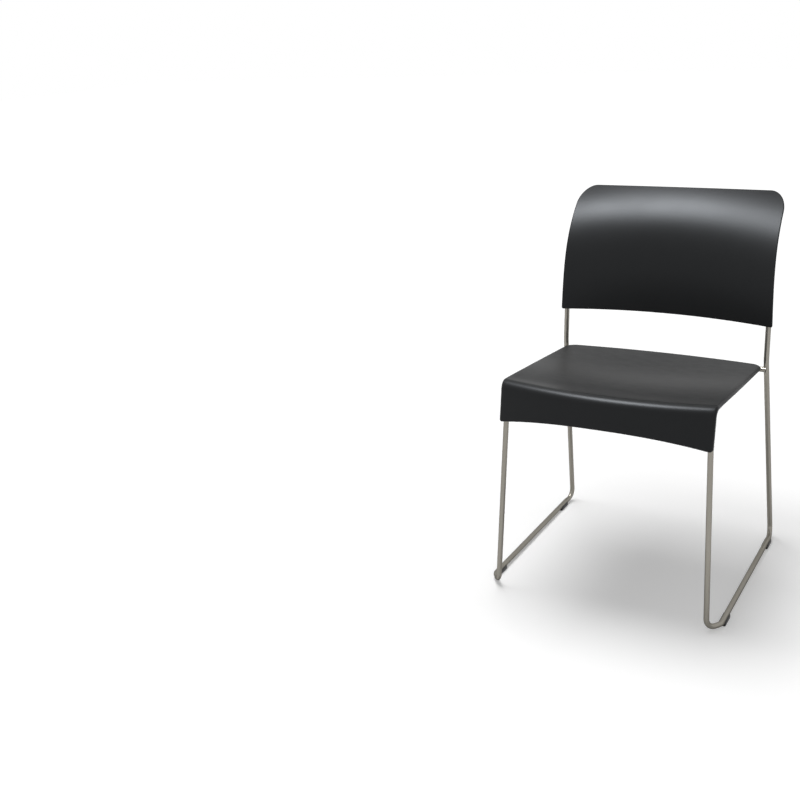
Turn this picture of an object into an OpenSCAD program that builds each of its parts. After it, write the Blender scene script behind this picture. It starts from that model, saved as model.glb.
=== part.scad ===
// Stacking chair: a bent steel rod sled frame with a moulded seat shell and backrest.
// +X is the sitter's left, -Y is the front, +Z is up. The floor is at Z = 0.

/* [Overall] */
// Height of the backrest's top edge above the floor
overall_h = 788; // [760:1:820]
// Depth from the front of the feet to the back of the backrest
overall_d = 510; // [495:1:530]
// Distance between the centres of the two floor runners
runner_gauge = 493; // [484:1:506]

/* [Frame rod] */
// Diameter of the side rods
rod_d = 11; // [10:0.5:12]
// Diameter of the two cross rods
cross_d = 11; // [9:0.5:12]
// Centreline radius of the bends at the feet
foot_r = 20; // [17:1:22]
// Centreline radius of the bend from the front leg into the rail
rail_bend_r = 28; // [22:1:34]
// Centreline radius of the upright's slight bend above the seat
upright_bend_r = 90; // [60:5:120]
// Centreline radius, in plan, where the front foot turns into the runner
front_turn_r = 24; // [18:1:26]
// Centreline radius, in plan, where the rear foot turns into the runner
rear_turn_r = 36; // [24:1:40]
// How far each front foot lies inboard of its runner
front_flare = 21.5; // [18:0.5:25]
// Length along Y of the front foot's outward turn
front_turn_l = 29; // [28:1:34]
// How far each rear foot lies inboard of its runner
rear_flare = 4.5; // [3:0.5:8]
// Length along Y of the rear foot's outward turn
rear_turn_l = 34; // [32:1:40]
// How far the rear foot lies behind the bend above the seat
rear_leg_rake = 77; // [62:1:90]
// Height of the upright's bend above the rear cross rod
bend_rise = 18; // [12:1:30]
// Backward lean of the upright above that bend, in degrees
upright_lean = 3; // [2:0.5:4]
// Distance by which each upright leans inward above that bend
upright_splay = 1.5; // [0:0.5:4]
// How far the front leg's top lies behind its foot
front_leg_rake = 33; // [30:1:38]
// How far the rear end of each rail lies inboard of its front end
rail_taper = 7; // [5:1:10]
// How far the rear cross rod's axis sits in front of the legs' axes
cross_set = 6; // [4:0.5:7]
// Distance of the front cross rod behind the seat's front bend
front_cross_back = 62; // [50:1:90]

/* [Seat shell] */
// Width of the seat
seat_w = 441; // [430:1:446]
// Height of the seat at its front bend
seat_h = 465; // [450:1:478]
// How much lower the seat is at its rear corners
seat_drop = 29; // [16:1:34]
// How far the front bend's corners lie behind the front feet's axes
seat_set = 24.5; // [22.5:0.5:28.5]
// How far the rear corners reach behind the rear cross rod's axis
seat_tail = 1; // [0.5:0.5:5]
// Wall thickness of the seat shell
seat_t = 4.5; // [4:0.5:5]
// Outer radius of the rolled front bend
front_bend_r = 20; // [19:1:24]
// Outer radius of the rolled side edges
edge_r = 5.5; // [5.5:0.5:7]
// Depth of the side edges below the seat's top
side_lip = 7; // [7:0.5:8]
// Depth of the apron's side returns around the legs
apron_lip = 12; // [10:0.5:14]
// Height of the apron at its corners, below the front bend
apron_h = 87; // [76:1:96]
// How far the apron slopes forward over its height
apron_lean = 15; // [12:1:18]
// Rise of the arched bottom edge in the middle of the apron
apron_arch = 19; // [13:1:26]
// How sharply the arch turns down at its ends
arch_power = 2.3; // [2:0.1:4]
// How far the middle of the rear edge reaches back
rear_bow = 24; // [12:1:28]
// How far the side edges bulge outward
side_bow = 1; // [0:0.5:3]
// Radius of the rear corners
rear_corner_r = 24; // [18:1:28]
// Sag of the front bend in the middle
front_sag = 3.5; // [0:0.5:6]
// Sag of the rear edge in the middle
rear_sag = 0; // [0:0.5:3]
// Extra depth of the dish in the middle of the seat
dish = 5; // [0:0.5:8]

/* [Backrest shell] */
// Width of the backrest at its bottom edge
back_w = 471; // [463:1:479]
// How much narrower the backrest is at its top edge
back_taper = 16; // [9:1:22]
// How far each side edge bends inward at mid height
back_waist = 0.7; // [0:0.1:3]
// Height of the backrest at its sides
back_h = 267; // [250:1:285]
// Wall thickness of the backrest shell
back_t = 4.5; // [4:0.5:5]
// Backward lean of the lower part over the whole height
back_lean = 9; // [5:1:13]
// Backward sweep of the top edge, which grows with a power of the height
back_sweep = 110; // [93:1:118]
// Power by which the sweep grows with height
sweep_power = 3.4; // [2.7:0.1:4]
// How far the middle of the bottom edge lies behind its ends
bottom_bow = 25; // [18:1:28]
// How far the middle of the top edge lies behind its ends, or before them if negative
top_bow = -5; // [-10:1:12]
// Power by which the bow changes from the bottom edge to the top one
bow_power = 1.8; // [1:0.1:2.4]
// Rise of the top edge in the middle
top_crown = 1.5; // [0:0.5:3]
// Rise of the bottom edge in the middle
bottom_arch = 3.5; // [0:0.5:8]
// Radius of the top corners
top_corner_r = 36; // [28:1:44]

/* [Backrest pockets] */
// Height of the pocket that each upright stands in
pocket_h = 84; // [70:1:95]
// Wall in front of and behind each upright
pocket_wall = 2.8; // [2.5:0.1:3.5]
// Shell left outboard of each upright at the bottom edge
pocket_side = 5.1; // [4.6:0.1:6]
// Solid end above the top of each upright
pocket_end = 5; // [4:0.5:8]
// Gap between an upright and its pocket, all round
pocket_gap = 0.1; // [0.05:0.01:0.2]
// Height of the fixing screw above the bottom edge
back_screw_up = 46; // [30:1:60]

/* [Fit and fixings] */
// Gap between the rails and the underside of the seat shell
rail_gap = 0.4; // [0.3:0.1:1]
// Gap between the rails and the shell's side lips
lip_gap = 2; // [1:0.5:3]
// Height of the bosses under the seat shell
boss_h = 8; // [7:0.5:10]
// Diameter of the bosses
boss_d = 15; // [13:0.5:18]
// Thickness of the steel mounting tabs
tab_t = 3; // [2.5:0.5:4]
// Width of a tab along the rail
tab_w = 24; // [18:1:30]
// Distance of a tab's screw inboard of the rail's axis
tab_reach = 17; // [15:1:22]
// Gap between a tab and the nearest cross rod
tab_clear = 5; // [3:0.5:8]
// Diameter of the seat screws' shanks
seat_screw_d = 5; // [4:0.5:6]
// Length of the seat screws under the head
seat_screw_l = 9; // [8:0.5:9.5]
// Diameter of the backrest screws' shanks
back_screw_d = 4; // [3:0.5:5]
// Depth of the backrest screws in the uprights
back_screw_l = 8; // [6:0.5:9]
// Diametral clearance of the screws in their holes
screw_gap = 0.1; // [0.05:0.05:0.2]

/* [Glides and buffers] */
// Length of a floor glide
glide_l = 36; // [30:1:44]
// Gap between a glide and the nearest bend
glide_clear = 0.5; // [0.5:0.5:6]
// Thickness of a glide below the rod
glide_t = 4; // [3:0.5:6]
// Wall of a glide beside the rod
clip_wall = 2.2; // [1.8:0.1:3]
// Height of the clips' arms above the rod's axis
clip_rise = 1; // [0.5:0.5:3.5]
// Radial gap between a clip and the rod
clip_gap = 0.05; // [0.03:0.01:0.1]
// Width of a buffer's sole
buffer_w = 8; // [6:0.5:12]
// Length of a stacking buffer
buffer_l = 26; // [20:1:32]
// Thickness of a buffer below the rail
buffer_t = 4; // [3:0.5:6]
// Distance of the front buffers behind the front bend
front_buffer_back = 64; // [60:1:110]
// Distance of the rear buffers in front of the rear cross rod
rear_buffer_ahead = 88; // [60:1:120]

/* [Hidden] */

plastic = "#2e3032";
rubber = "#191a1a";
steel = "#a9a69c";
zinc = "#8d8f90";

$fn = 48;
rod_r = rod_d / 2;
cross_r = cross_d / 2;
band_l = 0.6;
band_step = 0.03;
// How far a cutting shape runs past what it cuts
over = 1;

// Backrest: the front face's lower corner, set by the rearmost point of the top edge
top_slope = atan((back_lean + sweep_power * back_sweep) / back_h);
top_flat = back_w / 2 - back_taper / 2 - top_corner_r;
top_reach = max(top_bow, top_bow * (1 - pow(2 * top_flat / back_w, 2)));
back_foot_z = overall_h - back_h - top_crown;
back_foot_y = overall_d / 2 - back_t * cos(top_slope) - top_reach - back_lean - back_sweep;

// Uprights: they stand in the pockets behind the lower corners
pocket_x = back_w / 2 - pocket_side - pocket_gap - rod_r;
pocket_bow = bottom_bow * (1 - pow(2 * pocket_x / back_w, 2));
pocket_y = back_foot_y + pocket_bow + pocket_wall + pocket_gap + rod_r;

// Seat: a flat side plane that falls to the rear, from the front bend's virtual corner
front_leg_y = -overall_d / 2 + rod_r;
seat_front_y = front_leg_y + seat_set;
cross_drop = seat_t + rear_sag + rail_gap + cross_r;
bend_z = seat_h - seat_drop - cross_drop + bend_rise;
bend_y = pocket_y - (back_foot_z - bend_z) * tan(upright_lean);
bend_x = pocket_x + upright_splay;
rod_floor_z = glide_t + rod_r;
rear_leg_y = bend_y + rear_leg_rake;
runner_x = runner_gauge / 2;
rear_leg_x = runner_x - rear_flare;
front_leg_x = runner_x - front_flare;

// The rear leg's point beside the rear cross rod
cross_t = bend_rise / (bend_z - rod_floor_z);
cross_y = bend_y + rear_leg_rake * cross_t - cross_set;
cross_z = bend_z - bend_rise;
cross_x = bend_x + (rear_leg_x - bend_x) * cross_t;

seat_rear_y = cross_y + seat_tail;
seat_depth = seat_rear_y - seat_front_y;
seat_slope = atan(seat_drop / seat_depth);
seat_l = seat_depth / cos(seat_slope);

// Rails: just inside the side lips, a small gap under the shell
rail_h = -(seat_t + rail_gap + rod_r);
rail_x = seat_w / 2 - seat_t - lip_gap - rod_r;
rail_rear_x = rail_x - rail_taper;
rail_front_y = front_leg_y + front_leg_rake;
rail_end_l = (cross_y - seat_front_y) / cos(seat_slope);
front_cross_h = -(seat_t + front_sag + dish / 2 + rail_gap + cross_r);

// A point at X, a distance l back along the seat's side plane and h above it
function seat_point(x, l, h) = [x,
    seat_front_y + l * cos(seat_slope) + h * sin(seat_slope),
    seat_h - l * sin(seat_slope) + h * cos(seat_slope)];

function rail_at(l) = let (f = l / rail_end_l)
    seat_point(rail_x + (rail_rear_x - rail_x) * f, l, rail_h);

rail_front_l = (rail_front_y - seat_front_y - rail_h * sin(seat_slope)) / cos(seat_slope);

// Centreline of the rod on the +X side, from the upright's top end to the rail's rear end
upright_top = back_foot_z + pocket_h - pocket_end;
rod_path = [
    [pocket_x, bend_y + (upright_top - bend_z) * tan(upright_lean), upright_top],
    [bend_x, bend_y, bend_z],
    [rear_leg_x, rear_leg_y, rod_floor_z],
    [runner_x, rear_leg_y - rear_turn_l, rod_floor_z],
    [runner_x, front_leg_y + front_turn_l, rod_floor_z],
    [front_leg_x, front_leg_y, rod_floor_z],
    rail_at(rail_front_l),
    rail_at(rail_end_l)
];
rod_bends = [0, upright_bend_r, foot_r, rear_turn_r, front_turn_r, foot_r, rail_bend_r, 0];

function unit(v) = v / norm(v);
function towards(p, i, j) = unit(p[j] - p[i]);
function turn(p, i) = 180 - acos(towards(p, i, i - 1) * towards(p, i, i + 1));
function setback(p, r, i) = (i == 0 || i == len(p) - 1) ? 0 : r[i] * tan(turn(p, i) / 2);

// A round bar between two points
module bar(a, b, d) {
    v = b - a;
    translate(a)
        rotate([0, acos(v.z / norm(v)), atan2(v.y, v.x)])
            cylinder(d = d, h = norm(v));
}

// The arc of a bent bar at point i of its path
module bend(p, r, i, d) {
    a = towards(p, i, i - 1);
    b = towards(p, i, i + 1);
    centre = p[i] + unit(a + b) * r[i] / cos(turn(p, i) / 2);
    x = unit(p[i] + a * setback(p, r, i) - centre);
    y = -a;
    z = cross(x, y);
    multmatrix([
        [x.x, y.x, z.x, centre.x],
        [x.y, y.y, z.y, centre.y],
        [x.z, y.z, z.z, centre.z],
        [0, 0, 0, 1]])
        rotate_extrude(angle = turn(p, i))
            translate([r[i], 0])
                circle(d = d);
}

// A bar bent at each inner point of its path. A narrow band, a hair wider than the bar,
// joins each arc to the straight on either side of it
module bent_bar(p, r, d) {
    for (i = [0:len(p) - 2]) {
        way = towards(p, i, i + 1);
        start = p[i] + way * setback(p, r, i);
        end = p[i + 1] - way * setback(p, r, i + 1);
        bar(start, end, d);
        if (i > 0) bar(start - way * band_l / 2, start + way * band_l / 2, d + band_step);
        if (i < len(p) - 2) bar(end - way * band_l / 2, end + way * band_l / 2, d + band_step);
    }
    for (i = [1:len(p) - 2]) bend(p, r, i, d);
}

// Mirrors its children when side is -1
module on_side(side) {
    if (side < 0) mirror([1, 0, 0]) children();
    else children();
}

// Moves its children from the seat's side plane to their place
module in_seat_plane() {
    translate([0, seat_front_y, seat_h])
        rotate([-seat_slope, 0, 0])
            children();
}

// ---- Screws ----
upright_way = towards(rod_path, 1, 0);
back_screw_z = back_foot_z + back_screw_up;
back_screw_at = rod_path[1] + upright_way * (back_screw_z - bend_z) / upright_way.z;
back_head_d = 2 * back_screw_d;
back_head_h = 0.55 * back_screw_d;
back_pad_d = back_head_d + 2;
seat_head_d = 1.9 * seat_screw_d;
seat_head_h = 0.6 * seat_screw_d;
pocket_rear = rod_r + pocket_gap + pocket_wall;
pocket_front = rod_r + pocket_gap + pocket_wall / 2;

// How far a screw's hole runs past the surface under its head
function past(gap) = gap > 0 ? over : 0;

// A pan head screw along -Y, its head against the pad on the back of the pocket. With a
// gap it is the hole for the screw
module back_screw(gap = 0) {
    translate(back_screw_at) rotate([-90, 0, 0]) {
        translate([0, 0, rod_r - back_screw_l])
            cylinder(d = back_screw_d + gap, h = pocket_rear - rod_r + back_screw_l + past(gap));
        if (gap == 0) translate([0, 0, pocket_rear]) cylinder(d = back_head_d, h = back_head_h);
    }
}

// Places of the seat tabs' screws: distance back along the seat plane, and X
front_tab_l = front_cross_back + cross_r + tab_w / 2 + tab_clear;
rear_tab_l = rail_end_l - cross_r - tab_w / 2 - tab_clear;
function tab_x(l) = rail_at(l).x - tab_reach;

// Height of the seat's top surface in the seat plane, and the boss's foot below it
function across(x) = 1 - pow(2 * x / seat_w, 2);
function along(l) = max(0, min(1, l / seat_l));
function bowl(s) = 16 * pow(s * (1 - s), 2);
function seat_sag(x, l) = across(x) * (front_sag + (rear_sag - front_sag) * along(l))
    + dish * pow(across(x), 2) * bowl(along(l));
function boss_foot(l) = -(seat_sag(tab_x(l), l) + seat_t / 2 + boss_h);

// A pan head screw up through a tab, or with a gap the hole for it
module seat_screw(l, side, gap = 0) {
    in_seat_plane() translate([side * tab_x(l), l, boss_foot(l) - tab_t]) {
        translate([0, 0, -past(gap)]) cylinder(d = seat_screw_d + gap, h = seat_screw_l + past(gap));
        if (gap == 0) translate([0, 0, -seat_head_h]) cylinder(d = seat_head_d, h = seat_head_h);
    }
}

// ---- Frame ----
module side_rod(side) {
    color(steel) on_side(side) difference() {
        bent_bar(rod_path, rod_bends, rod_d);
        back_screw(screw_gap);
        rail_cope();
    }
}

// The stretch of the rear cross rod that the rail's end is cut to fit
module rail_cope() {
    at = [rail_rear_x, cross_y, cross_z];
    bar(at - [rod_d, 0, 0], at + [rod_r + rail_taper / 4, 0, 0], cross_d);
}

module rear_cross_bar() {
    bar([-cross_x, cross_y, cross_z], [cross_x, cross_y, cross_z], cross_d);
}

front_cross_at = seat_point(rail_at(front_cross_back).x, front_cross_back, front_cross_h);

// The rails as plain bars, which the front cross rod and the tabs are cut to fit
module rail_bars() {
    for (side = [-1, 1]) on_side(side)
        bar(rod_path[6], rod_path[7] + towards(rod_path, 6, 7) * cross_d, rod_d);
}

module front_cross_rod() {
    color(steel) difference() {
        bar([-front_cross_at.x, front_cross_at.y, front_cross_at.z], front_cross_at, cross_d);
        rail_bars();
    }
}

module rear_cross_rod() {
    color(steel) difference() {
        rear_cross_bar();
        for (side = [-1, 1]) on_side(side) bar(rod_path[1], rod_path[2], rod_d);
    }
}

// A flat plate with a screw hole, welded to the lower inner side of the rail: it stops
// halfway between the rail's side and its axis
module seat_tab(l, side) {
    color(steel) difference() {
        in_seat_plane() on_side(side)
            translate([tab_x(l) - boss_d / 2, l - tab_w / 2, boss_foot(l) - tab_t])
                cube([boss_d / 2 + tab_reach - rod_r / 2, tab_w, tab_t]);
        rail_bars();
        seat_screw(l, side, screw_gap);
    }
}

// ---- Seat shell ----
n_across = 11;
n_roll = 5;
n_corner = 6;
n_along = 13;
n_bend = 9;
n_apron = 7;

// Half of the shell's cross-section as [distance from the middle, depth], w wide and p deep
function outer_half(w, p) = concat(
    [for (i = [0:n_across]) [(w - edge_r) * i / n_across, 0]],
    [for (i = [1:n_roll]) let (f = 90 * i / n_roll) [w - edge_r + edge_r * sin(f), edge_r * (1 - cos(f))]],
    [[w, p]]);
function inner_half(w, p) = let (r = edge_r - seat_t) concat(
    [for (i = [0:n_across]) [(w - edge_r) * i / n_across, seat_t]],
    [for (i = [1:n_roll]) let (f = 90 * i / n_roll) [w - edge_r + r * sin(f), edge_r - r * cos(f)]],
    [[w - seat_t, p]]);
function flipped(half) = [for (i = [len(half) - 1:-1:1]) [-half[i].x, half[i].y]];
function reversed(list) = [for (i = [len(list) - 1:-1:0]) list[i]];
function full(half) = concat(flipped(half), half);
function channel(w, p) = concat(full(outer_half(w, p)), reversed(full(inner_half(w, p))));

// How far the middle of the front bulges forward, so that the apron's lower edge there is
// the foremost point of the chair
front_bow = seat_front_y + overall_d / 2 - apron_lean * (apron_h - apron_arch - front_sag) / apron_h;

// The front bend's virtual corner at X, in the Y and Z of the part
function corner_y(x) = seat_front_y - front_bow * across(x);
function corner_z(x) = seat_h - front_sag * across(x);
lean_angle = atan(apron_lean / apron_h);
bend_angle = 90 - lean_angle + seat_slope;
bend_setback = front_bend_r * tan(bend_angle / 2);
top_normal = [sin(seat_slope), cos(seat_slope)];
top_way = [-cos(seat_slope), sin(seat_slope)];
apron_way = [-sin(lean_angle), -cos(lean_angle)];

// A point of the seat's top, a fraction s of the way back, sunk by depth along the normal
function top_point(x, s, depth) = let (
    start = [corner_y(x), corner_z(x)] - top_way * bend_setback,
    back_y = seat_rear_y + rear_bow * across(x),
    run = (back_y - start.x) * s,
    sink = (rear_sag - front_sag) * across(x) * s + dish * pow(across(x), 2) * bowl(s),
    p = start + [run, -run * tan(seat_slope) - sink] - depth * top_normal)
    [x, p.x, p.y];

// A point of the front bend, a fraction s of the way round
function bend_point(x, s, depth) = let (
    start = [corner_y(x), corner_z(x)] - top_way * bend_setback,
    centre = start - front_bend_r * top_normal,
    a = 90 - seat_slope + bend_angle * s,
    p = centre + (front_bend_r - depth) * [cos(a), sin(a)])
    [x, p.x, p.y];

// The apron's lower edge at X, and a point a fraction s of the way down to it
function apron_foot_z(x) = seat_h - apron_h + apron_arch * (1 - pow(min(1, abs(2 * x / seat_w)), arch_power));
function apron_point(x, s, depth) = let (
    start = [corner_y(x), corner_z(x)] + apron_way * bend_setback,
    reach = (start.y - apron_foot_z(x)) / cos(lean_angle),
    p = start + apron_way * reach * s - depth * [-cos(lean_angle), sin(lean_angle)])
    [x, p.x, p.y];

// Half width of the seat at distance g in front of its rear edge
function seat_half(g) = seat_w / 2
    - (g < rear_corner_r ? rear_corner_r - sqrt(pow(rear_corner_r, 2) - pow(rear_corner_r - g, 2)) : 0);
function side_bulge(s) = side_bow * 4 * s * (1 - s);

seat_run = seat_depth - bend_setback * cos(seat_slope);
// Stations from the rear edge to the front bend, closer together round the corner
corner_gaps = [for (i = [0:n_corner]) rear_corner_r * (1 - cos(90 * i / n_corner))];
top_stations = concat([for (g = corner_gaps) 1 - g / seat_run],
    [for (i = [1:n_along]) (1 - rear_corner_r / seat_run) * (1 - i / n_along)]);

function lip_at(s) = side_lip + (apron_lip - side_lip) * s;

seat_rings = concat(
    [for (s = top_stations) let (w = seat_half((1 - s) * seat_run) + side_bulge(s))
        [for (p = channel(w, side_lip)) top_point(p.x, s, p.y)]],
    [for (i = [1:n_bend]) let (s = i / n_bend)
        [for (p = channel(seat_w / 2, lip_at(s))) bend_point(p.x, s, p.y)]],
    [for (i = [1:n_apron]) let (s = i / n_apron)
        [for (p = channel(seat_w / 2, apron_lip)) apron_point(p.x, s, p.y)]]);

// Joins rings of equal length into a closed solid. Each ring is an outer run followed by
// an inner run of the same length in the other direction, and the ends are closed between them
module skin(rings) {
    n = len(rings[0]);
    m = n / 2;
    last = (len(rings) - 1) * n;
    sides = [for (j = [0:len(rings) - 2], i = [0:n - 1]) let (
            a = j * n + i,
            b = j * n + (i + 1) % n)
        each [[a, b, b + n], [a, b + n, a + n]]];
    ends = [for (i = [0:m - 2]) let (k = n - 1 - i)
        each [[i, k, i + 1], [k, k - 1, i + 1],
            [last + i, last + i + 1, last + k], [last + k, last + i + 1, last + k - 1]]];
    polyhedron(points = [for (ring = rings) each ring], faces = concat(sides, ends), convexity = 8);
}

module seat_shell() {
    color(plastic) difference() {
        union() {
            skin(seat_rings);
            for (l = [front_tab_l, rear_tab_l], side = [-1, 1]) in_seat_plane()
                translate([side * tab_x(l), l, boss_foot(l)]) cylinder(d = boss_d, h = boss_h);
        }
        for (l = [front_tab_l, rear_tab_l], side = [-1, 1]) seat_screw(l, side, screw_gap);
    }
}

// ---- Backrest shell ----
n_wide = 12;
n_high = 14;
n_top = 6;
n_pocket = 4;
rim = 1.4;
rim_mid = rim * (1 - cos(45));
pocket_inset = 0.4;

// Half of the backrest's cross-section as [distance from the middle, depth], w wide
function front_half(w) = concat(
    [for (i = [0:n_wide]) [(w - rim) * i / n_wide, 0]],
    [[w - rim_mid, rim_mid], [w, rim]]);
function rear_half(w) = [for (p = front_half(w)) [p.x, back_t - p.y]];
function plate(w) = concat(full(front_half(w)), reversed(full(rear_half(w))));

function back_profile(t) = back_lean * t + back_sweep * pow(t, sweep_power);
function back_half(t) = let (g = back_h * (1 - t))
    back_w / 2 - back_taper / 2 * t - back_waist * 4 * t * (1 - t)
    - (g < top_corner_r ? top_corner_r - sqrt(pow(top_corner_r, 2) - pow(top_corner_r - g, 2)) : 0);
function back_point(x, t, depth) = let (
    q = 1 - pow(2 * x / back_w, 2),
    slope = atan((back_lean + sweep_power * back_sweep * pow(t, sweep_power - 1)) / back_h),
    bow = bottom_bow + (top_bow - bottom_bow) * pow(t, bow_power),
    y = back_foot_y + back_profile(t) + bow * q,
    z = back_foot_z + back_h * t + (bottom_arch * (1 - t) + top_crown * t) * q)
    [x, y + depth * cos(slope), z - depth * sin(slope)];

back_stations = concat([for (i = [0:n_high]) (1 - top_corner_r / back_h) * i / n_high],
    [for (i = [1:n_top]) 1 - top_corner_r * (1 - sin(90 * i / n_top)) / back_h]);
back_rings = [for (t = reversed(back_stations)) [for (p = plate(back_half(t))) back_point(p.x, t, p.y)]];

// The pocket's outer block and its bore, along the upright
module along_upright() {
    foot = rod_path[1] + upright_way * (back_foot_z - bend_z) / upright_way.z;
    translate(foot)
        rotate([0, acos(upright_way.z), atan2(upright_way.y, upright_way.x)])
            rotate([0, 0, -atan2(upright_way.y, upright_way.x)])
                children();
}
// The pocket is flat in front, round behind, and stays inside the shell's side edge
module pocket_block() {
    intersection() {
        along_upright() {
            cylinder(r = pocket_rear, h = pocket_h);
            translate([-pocket_rear, -pocket_front, 0]) cube([2 * pocket_rear, pocket_front, pocket_h]);
        }
        pocket_outline();
    }
}
// The space between the planes just inside the shell's side edges, over the pockets' height
module pocket_outline() {
    edge = [for (i = [0:n_pocket]) let (t = pocket_h / back_h * i / n_pocket)
        [back_half(t) - pocket_inset, back_foot_z + back_h * t]];
    depth = 4 * pocket_rear;
    translate([0, pocket_y + depth, 0]) rotate([90, 0, 0]) linear_extrude(height = 2 * depth)
        polygon(concat([[0, back_foot_z]], edge, [[0, back_foot_z + pocket_h]]));
}
// The flat round pad under the fixing screw's head
module screw_pad() {
    translate(back_screw_at) rotate([-90, 0, 0]) cylinder(d = back_pad_d, h = pocket_rear);
}
module pocket_bore() {
    along_upright() translate([0, 0, -pocket_h])
        cylinder(d = rod_d + 2 * pocket_gap, h = 2 * pocket_h - pocket_end);
}

module backrest_shell() {
    color(plastic) difference() {
        union() {
            skin(back_rings);
            for (side = [-1, 1]) on_side(side) {
                pocket_block();
                screw_pad();
            }
        }
        for (side = [-1, 1]) on_side(side) {
            pocket_bore();
            back_screw(screw_gap);
        }
    }
}

// ---- Fixings ----
module seat_screws() {
    color(zinc) for (l = [front_tab_l, rear_tab_l], side = [-1, 1]) seat_screw(l, side);
}
module back_screws() {
    color(zinc) for (side = [-1, 1]) on_side(side) back_screw();
}

// ---- Glides and buffers ----
clip_w = 2 * (rod_r + clip_gap + clip_wall);

// A push-on clip along Y, its rod's axis at the origin, with a sole w wide and of a
// thickness t below the rod
module clip(l, w, t) {
    half = clip_w / 2;
    translate([0, l / 2, 0]) rotate([90, 0, 0]) linear_extrude(height = l) difference() {
        union() {
            circle(r = half);
            translate([-w / 2, -rod_r - t]) square([w, rod_r + t]);
        }
        circle(r = rod_r + clip_gap);
        translate([-half - over, clip_rise]) square([2 * (half + over), half]);
    }
}

front_glide_y = rod_path[4].y + setback(rod_path, rod_bends, 4) + glide_clear + glide_l / 2;
rear_glide_y = rod_path[3].y - setback(rod_path, rod_bends, 3) - glide_clear - glide_l / 2;

module glide(y, side) {
    color(rubber) translate([side * runner_x, y, rod_floor_z]) clip(glide_l, clip_w, glide_t);
}

front_buffer_l = front_buffer_back;
rear_buffer_l = rail_end_l - rear_buffer_ahead;
rail_yaw = atan(rail_taper / rail_end_l);

module buffer(l, side) {
    color(rubber) on_side(side) translate(rail_at(l)) rotate([-seat_slope, 0, 0])
        rotate([0, 0, rail_yaw]) clip(buffer_l, buffer_w, buffer_t);
}

side_rod(1);  // left_side_rod
side_rod(-1);  // right_side_rod
front_cross_rod();
rear_cross_rod();
seat_tab(front_tab_l, 1);  // front_left_seat_tab
seat_tab(front_tab_l, -1);  // front_right_seat_tab
seat_tab(rear_tab_l, 1);  // rear_left_seat_tab
seat_tab(rear_tab_l, -1);  // rear_right_seat_tab
seat_shell();
backrest_shell();
seat_screws();
back_screws();
glide(front_glide_y, 1);  // front_left_glide
glide(front_glide_y, -1);  // front_right_glide
glide(rear_glide_y, 1);  // rear_left_glide
glide(rear_glide_y, -1);  // rear_right_glide
buffer(front_buffer_l, 1);  // front_left_buffer
buffer(front_buffer_l, -1);  // front_right_buffer
buffer(rear_buffer_l, 1);  // rear_left_buffer
buffer(rear_buffer_l, -1);  // rear_right_buffer
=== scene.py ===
from math import asin, atan, atan2, cos, exp, pi, radians, sin, sqrt, tan

import bmesh
import bpy
from mathutils import Matrix, Vector


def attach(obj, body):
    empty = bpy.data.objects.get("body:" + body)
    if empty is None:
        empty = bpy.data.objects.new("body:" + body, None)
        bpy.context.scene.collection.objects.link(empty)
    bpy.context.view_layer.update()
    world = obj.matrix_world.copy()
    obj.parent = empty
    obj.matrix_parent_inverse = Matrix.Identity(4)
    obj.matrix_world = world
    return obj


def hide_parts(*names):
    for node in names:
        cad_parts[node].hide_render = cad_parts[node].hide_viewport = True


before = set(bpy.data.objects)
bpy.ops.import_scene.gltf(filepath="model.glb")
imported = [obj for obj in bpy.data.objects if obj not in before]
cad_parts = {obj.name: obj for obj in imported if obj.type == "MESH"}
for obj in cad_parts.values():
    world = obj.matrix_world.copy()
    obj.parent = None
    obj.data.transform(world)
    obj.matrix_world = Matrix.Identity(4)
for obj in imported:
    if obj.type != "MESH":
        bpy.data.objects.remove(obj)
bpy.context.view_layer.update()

# Stacking chair: bent steel rod sled frame, moulded seat shell and moulded backrest shell.
# +X is the sitter's left, -Y the front, +Z up, in metres, with the floor at Z = 0.
print("frame loaded:", len(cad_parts), "nodes")


def newNode(tree, kind, **settings):
    node = tree.nodes.new(kind)
    for key, value in settings.items():
        if key in node.inputs:
            node.inputs[key].default_value = value
        else:
            setattr(node, key, value)
    return node


def linkNodes(tree, *pairs):
    for source, target in pairs:
        tree.links.new(source, target)


def stretched(tree, source, scale):
    # The same coordinates, scaled along each axis
    mapping = newNode(tree, "ShaderNodeMapping")
    mapping.inputs["Scale"].default_value = scale
    linkNodes(tree, (source, mapping.inputs["Vector"]))
    return mapping.outputs["Vector"]


def noiseAt(tree, source, scale, detail, roughness=0.5):
    noise = newNode(tree, "ShaderNodeTexNoise", Scale=scale, Detail=detail, Roughness=roughness)
    linkNodes(tree, (source, noise.inputs["Vector"]))
    return noise.outputs["Fac"]


def spread(tree, source, low, high, fromLow=0.0, fromHigh=1.0):
    # Maps a value from one range to another
    span = newNode(tree, "ShaderNodeMapRange")
    span.inputs["From Min"].default_value = fromLow
    span.inputs["From Max"].default_value = fromHigh
    span.inputs["To Min"].default_value = low
    span.inputs["To Max"].default_value = high
    linkNodes(tree, (source, span.inputs["Value"]))
    return span.outputs["Result"]


def colourBetween(tree, factor, dark, light):
    ramp = newNode(tree, "ShaderNodeValToRGB")
    ramp.color_ramp.elements[0].color = (*dark, 1)
    ramp.color_ramp.elements[1].color = (*light, 1)
    linkNodes(tree, (factor, ramp.inputs["Fac"]))
    return ramp.outputs["Color"]


def bumped(tree, height, strength, distance):
    bump = newNode(tree, "ShaderNodeBump", Strength=strength, Distance=distance)
    linkNodes(tree, (height, bump.inputs["Height"]))
    return bump.outputs["Normal"]


def newMaterial(name, **shaderValues):
    material = bpy.data.materials.new(name)
    material.use_nodes = True
    shader = material.node_tree.nodes["Principled BSDF"]
    for key, value in shaderValues.items():
        shader.inputs[key].default_value = value
    return material, material.node_tree, shader


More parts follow.
